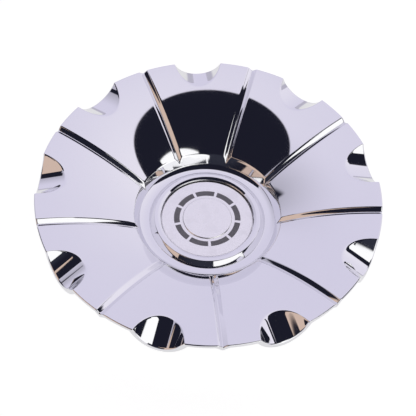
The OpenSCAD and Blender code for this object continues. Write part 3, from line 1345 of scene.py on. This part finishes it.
@dataclass
class Medallion:
    """The satin disc inside the lip and the enamel in its fields."""

    shape: CapShape = field(default_factory=CapShape)
    paint_below: float = 0.05
    paint_crown: float = 0.06
    paint_lap: float = 0.02
    paint_lap_degrees: float = 0.05
    field_columns: int = 36
    edge_round: float = 0.12

    def disc(self, finish: bpy.types.Material) -> bpy.types.Object:
        """Makes the disc with its sunk fields."""
        s = self.shape
        low, top = s.disc_low, s.disc_top
        outer, bevel = s.medallion_d / 2, s.medallion_t / 3
        field_out, field_in = s.field_d / 2, s.field_d / 2 - s.field_w
        middle = s.middle_d / 2
        sunk = top - s.field_depth

        def start() -> Section:
            """Runs from the underside's middle round the edge to the top."""
            end = (field_out, top)
            stops = [(outer, low), (outer, top - bevel), (outer - bevel, top)]
            line = Section((0.0, low)).straight((outer / 2, low))
            return line.corners([(stop, self.edge_round, 3) for stop in stops], end).straight(end)

        def end(line: Section) -> Section:
            """Runs from the fields over the raised middle to the axis."""
            high = top + s.middle_h
            rounds = [((middle + s.middle_h, top), self.edge_round, 4), ((middle, high), self.edge_round, 4)]
            return line.corners(rounds, (0.0, high)).straight((0.0, high), 6)

        plain = end(start().straight((field_in, top)))
        sunken = start().straight((field_out, sunk)).straight((field_in, sunk), 3).straight((field_in, top))
        sunken = end(sunken)
        draft = Draft()
        gap, pitch = s.field_gap / 2, 360 / s.sectors
        turns = np.radians(np.linspace(gap, pitch - gap, self.field_columns))
        draft.add_turned(plain, list(np.radians([0.0, gap])))
        draft.add_turned(sunken, list(turns))
        draft.add_turned(plain, list(np.radians([pitch - gap, pitch])))
        count = len(start().points)
        outline = sunken.points[count - 1 : count + 5]
        draft.add_wall(outline, float(turns[0]), 1)
        draft.add_wall(outline, float(turns[-1]), -1)
        disc = ring_tree().bake(
            draft.build("disc_sector"),
            {"Count": s.sectors, "Turn": 0.0, "Weld": WELD, "Finish": finish},
            "medallion_disc",
        )
        settle_normals(disc)
        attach(disc, BODY)
        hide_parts("medallion")
        return disc

    def enamel(self, finish: bpy.types.Material) -> bpy.types.Object:
        """Makes the enamel that fills the fields, crowned a little in its middle."""
        s = self.shape
        top = s.disc_top
        r1, r0 = s.field_d / 2 + self.paint_lap, s.field_d / 2 - s.field_w - self.paint_lap
        low, edge_z = top - s.field_depth - self.paint_lap, top - self.paint_below - self.paint_crown
        crown = []
        for i in range(1, 9):
            t = i / 8
            crown.append((r1 + (r0 - r1) * t, edge_z + self.paint_crown * math.sin(math.pi * t)))
        line = Section((r1, low)).straight((r1, edge_z)).curve(crown).straight((r0, low)).straight((r1, low))
        draft = Draft()
        edge = s.field_gap / 2 - self.paint_lap_degrees
        turns = np.radians(np.linspace(edge, 360 / s.sectors - edge, self.field_columns))
        draft.add_turned(line, list(turns))
        draft.add_wall(line.points[:-1], float(turns[0]), -1)
        draft.add_wall(line.points[:-1], float(turns[-1]), 1)
        fields = ring_tree().bake(
            draft.build("enamel_sector"),
            {"Count": s.sectors, "Turn": 0.0, "Weld": WELD, "Finish": finish},
            "enamel_fields",
        )
        settle_normals(fields)
        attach(fields, BODY)
        return fields


@dataclass
class RetainingRing:
    """The open ring of spring wire inside the legs."""

    shape: CapShape = field(default_factory=CapShape)
    steps: int = 220

    def build(self, finish: bpy.types.Material) -> bpy.types.Object:
        """Bends the wire along its ring."""
        s = self.shape
        ring = wire_tree().bake(
            bpy.data.objects.new("wire_start", bpy.data.meshes.new("wire_start")),
            {"Ring Radius": s.wire_ring_r * MM, "Wire Radius": s.wire_d / 2 * MM,
             "Start": math.radians(s.leg_turn + 180 / s.legs + s.ring_gap / 2),
             "Sweep": math.radians(360 - s.ring_gap), "Height": s.wire_z * MM, "Steps": self.steps,
             "Finish": finish},
            "wire_ring",
        )
        ring.data.shade_smooth()
        ring.data.set_sharp_from_angle(angle=math.radians(40))
        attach(ring, BODY)
        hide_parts("retaining_ring")
        return ring


# The studio


@dataclass(frozen=True)
class Edge:
    """A straight edge between two looks of the tent, in degrees from the zenith."""

    rise: float
    level: float

    def at(self, along: Signal) -> Signal:
        """Gives where the edge lies at a place along it."""
        return along * self.rise + self.level


@dataclass(frozen=True)
class Studio:
    """A white sheet on lavender cloth, in a tent with a black flag, a beige card and a white softbox.

    A direction in the tent is given by two angles from the zenith in degrees, across (+X) and
    behind (+Y) the cap.
    """

    radius: float = 12000.0
    dome_start: float = -3.0
    dome_rows: int = 48
    dome_columns: int = 96
    tent: Colour = (0.735, 0.705, 0.865)
    tent_bright: Colour = (0.90, 0.87, 0.97)
    tent_dim: Colour = (0.40, 0.39, 0.46)
    flag: Colour = (0.0125, 0.0130, 0.024)
    flag_low: Colour = (0.030, 0.032, 0.048)
    beige: Colour = (0.70, 0.53, 0.44)
    softbox: float = 1.15
    floor_share: float = 0.3
    floor_glow: float = 1.27
    floor_mirrored: float = 1.0
    sheet_r: float = 300.0
    cloth_r: float = 480.0
    cloth: Colour = (0.56, 0.54, 0.66)
    # The tent: bright on the right and in front, dim on the left. Each band runs from no effect to full
    right_across: Band = (-10.0, 70.0)
    front_behind: Band = (48.0, 8.0)
    front_across: Band = (-60.0, 0.0)
    dim_across: Band = (-20.0, -60.0)
    dim_behind: Band = (60.0, 5.0)
    # The flag: its upper edge, its left and right post, and where it turns lighter
    hem: Edge = Edge(0.055, 8.7)
    hem_left: Edge = Edge(1.0, 37.0)
    hem_soft: float = 0.35
    left_post_across: Band = (-46.0, -49.0)
    left_post_behind: Band = (20.0, 17.0)
    right_post_across: Band = (51.5, 53.0)
    right_post_behind: Band = (15.0, 13.0)
    right_post_top: Edge = Edge(-2.0, 135.0)
    right_post_soft: float = 1.0
    flag_low_behind: Band = (-40.0, -60.0)
    # The softbox: its left edge in three stretches, and its upper edge in two
    softbox_left: Edge = Edge(-6.0, -135.5)
    softbox_left_middle: float = 11.5
    softbox_left_far: Edge = Edge(0.4, 39.6)
    softbox_top: Edge = Edge(0.75, -31.0)
    softbox_top_right: Band = (36.0, 44.0)
    softbox_top_levels: Band = (-4.0, -18.0)
    softbox_soft: float = 0.5
    # The beige card: its upper and lower edge, and where it ends left and right
    card_top: Edge = Edge(-0.7, -38.4)
    card_foot: Edge = Edge(0.3, -27.4)
    card_foot_across: Band = (-40.5, -42.0)
    card_left_across: Band = (-54.0, -52.0)
    card_left_behind: Band = (-16.0, -18.0)
    card_soft: float = 0.6

    def tent_cloth(self, g: Graph, across: Signal, behind: Signal) -> bpy.types.NodeSocket:
        """Gives the colour of the tent's cloth in one direction."""
        front = behind.step(*self.front_behind) * across.step(*self.front_across)
        bright = across.step(*self.right_across) * 0.75 + front * 0.45
        dim = across.step(*self.dim_across) * behind.step(*self.dim_behind)
        return g.mix(dim, g.mix(bright.lowest(1.0), self.tent, self.tent_bright), self.tent_dim)

    def flag_mask(self, across: Signal, behind: Signal) -> Signal:
        """Gives 1 where the flag hangs: below the tent's hem, and in a post left and right."""
        hem = self.hem.at(across).lowest(self.hem_left.at(across))
        flag = (behind - hem).step(self.hem_soft, -self.hem_soft)
        flag = flag.highest(across.step(*self.left_post_across) * behind.step(*self.left_post_behind))
        low = (behind - self.right_post_top.at(across)).step(self.right_post_soft, -self.right_post_soft)
        low = low.highest(behind.step(*self.right_post_behind))
        return flag.highest(across.step(*self.right_post_across) * low)

    def softbox_mask(self, across: Signal, behind: Signal) -> Signal:
        """Gives 1 where the softbox shines."""
        left = self.softbox_left.at(behind).highest(self.softbox_left_middle)
        left = left.lowest(self.softbox_left_far.at(behind))
        start, end = self.softbox_top_levels
        level = across.step(*self.softbox_top_right) * (end - start) + start
        top = self.softbox_top.at(across).lowest(level)
        soft = self.softbox_soft
        return (across - left).step(-soft, soft) * (behind - top).step(soft, -soft)

    def card_mask(self, across: Signal, behind: Signal) -> Signal:
        """Gives 1 where the card hangs."""
        soft = self.card_soft
        top = (behind - self.card_top.at(across)).step(soft, -soft)
        foot = (behind - self.card_foot.at(across)).step(-soft, soft)
        foot = foot.highest(across.step(*self.card_foot_across))
        left = across.step(*self.card_left_across).highest(behind.step(*self.card_left_behind))
        return top * foot * left

    def tent_material(self) -> bpy.types.Material:
        """Makes the tent's glow, which depends on the direction alone."""
        material = bpy.data.materials.new("studio_tent")
        g = Graph(material)
        unit = g.node("ShaderNodeVectorMath", {"operation": "NORMALIZE"}, {0: g.place()})
        x, y, z = g.axes(unit.outputs[0])
        level = g.radius(x, y).highest(1e-5)
        angle = z.math("ARCCOSINE") * (180.0 / math.pi)
        across, behind = angle * x / level, angle * y / level
        colour = self.tent_cloth(g, across, behind)
        black = g.mix(behind.step(*self.flag_low_behind), self.flag, self.flag_low)
        colour = g.mix(self.flag_mask(across, behind), colour, black)
        colour = g.mix(self.softbox_mask(across, behind), colour, (self.softbox,) * 3)
        colour = g.mix(self.card_mask(across, behind), colour, self.beige)
        g.surface(g.node("ShaderNodeEmission", inputs={"Color": colour, "Strength": 1.0}))
        return material

    def floor_material(self) -> bpy.types.Material:
        """Makes the floor white to the camera and to reflections, with the cap's shadow kept."""
        material = bpy.data.materials.new("studio_floor")
        g = Graph(material)
        path = g.node("ShaderNodeLightPath")
        direct = g.signal(path, "Is Camera Ray")
        seen = direct.highest(g.signal(path, "Is Glossy Ray")).highest(g.signal(path, "Is Transmission Ray"))
        level = direct * (self.floor_glow - self.floor_mirrored) + self.floor_mirrored
        matt = g.node("ShaderNodeBsdfDiffuse", inputs={"Color": (0.9, 0.9, 0.9)})
        x, y, _ = g.axes(g.place())
        away = g.radius(x, y).step(self.sheet_r * MM, self.cloth_r * MM)
        colour = g.mix(away, (1.0, 1.0, 1.0), self.cloth)
        glow = g.node("ShaderNodeEmission", inputs={"Color": colour, "Strength": level})
        shaders = {0: seen * (1.0 - self.floor_share), 1: matt.outputs[0], 2: glow.outputs[0]}
        g.surface(g.node("ShaderNodeMixShader", inputs=shaders))
        return material

    def stand(self, name: str, line: Section, material: bpy.types.Material, seen: bool) -> None:
        """Turns a line about the axis and puts it round the cap.

        Args:
            name: Name of the object.
            line: The section.
            material: Its material.
            seen: Whether the camera sees it.
        """
        draft = Draft()
        draft.add_turned(line, [2 * math.pi * k / self.dome_columns for k in range(self.dome_columns + 1)])
        made = draft.build(name)
        made.data.attributes.remove(made.data.attributes[FACING])
        made.data.materials.append(material)
        made.visible_camera = seen
        bpy.context.scene.collection.objects.link(made)

    def build(self) -> None:
        """Sets up the tent, the floor and the world."""
        scene = bpy.context.scene
        rise = 90.0 - self.dome_start
        turns = [math.radians(self.dome_start + rise * i / self.dome_rows) for i in range(self.dome_rows)]
        dome = [(self.radius * math.cos(t), self.radius * math.sin(t)) for t in turns] + [(0.0, self.radius)]
        self.stand("studio_tent", Section(dome[0]).curve(dome[1:]), self.tent_material(), False)
        flat = Section((self.radius, 0.0)).straight((0.0, 0.0), 6)
        self.stand("studio_floor", flat, self.floor_material(), True)
        scene.world = bpy.data.worlds.new("studio_world")
        g = Graph(scene.world)
        shade = g.node("ShaderNodeBackground", inputs={"Color": (1.0, 1.0, 1.0), "Strength": 1.0})
        g.node("ShaderNodeOutputWorld", inputs={"Surface": shade.outputs[0]})
        scene.view_settings.view_transform = "Standard"


@dataclass(frozen=True)
class PhotoCamera:
    """The camera that was solved from the outline, the grooves and the rings of the photograph."""

    focal_px: float = 1142.94
    distance: float = 623.75
    elevation: float = 54.07
    azimuth: float = 2.24
    roll: float = -4.35
    centre_px: Point = (209.3, 191.5)
    sensor: float = 36.0
    clip: Band = (0.01, 20.0)

    def build(self, aim_z: float) -> None:
        """Places the camera.

        Args:
            aim_z: Height of the rim plane in millimetres.
        """
        el, az, roll = (math.radians(v) for v in (self.elevation, self.azimuth, self.roll))
        back = Vector((math.sin(az) * math.cos(el), -math.cos(az) * math.cos(el), math.sin(el)))
        right = Vector((math.cos(az), math.sin(az), 0.0))
        up = back.cross(right)
        across = right * math.cos(roll) - up * math.sin(roll)
        along = right * math.sin(roll) + up * math.cos(roll)
        data = bpy.data.cameras.new("photo_camera")
        data.sensor_width = self.sensor
        data.lens = self.sensor * self.focal_px / IMAGE_SIDE
        data.shift_x = (IMAGE_SIDE / 2 - self.centre_px[0]) / IMAGE_SIDE
        data.shift_y = (self.centre_px[1] - IMAGE_SIDE / 2) / IMAGE_SIDE
        data.clip_start, data.clip_end = self.clip
        camera = bpy.data.objects.new("photo_camera", data)
        place = (Vector((0.0, 0.0, aim_z)) + back * self.distance) * MM
        turn = Matrix((across, along, back)).transposed().to_4x4()
        camera.matrix_world = Matrix.Translation(place) @ turn
        bpy.context.scene.collection.objects.link(camera)
        bpy.context.scene.camera = camera


def main() -> None:
    """Builds the studio and the pieces in order."""
    shape = CapShape()
    Studio().build()
    PhotoCamera().build(shape.rim_z)
    shell = ShellSector(shape).build(ChromePlate().build())
    medallion = Medallion(shape)
    made = [
        shell,
        medallion.disc(SatinMetal().build()),
        medallion.enamel(FieldPaint().build()),
        RetainingRing(shape).build(SpringWire().build()),
    ]
    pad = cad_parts["adhesive_pad"]
    pad.data.materials.clear()
    pad.data.materials.append(FoamTape().build())
    for piece in made:
        log.info("%s: %d faces", piece.name, len(piece.data.polygons))


if __name__ == "__main__":
    main()
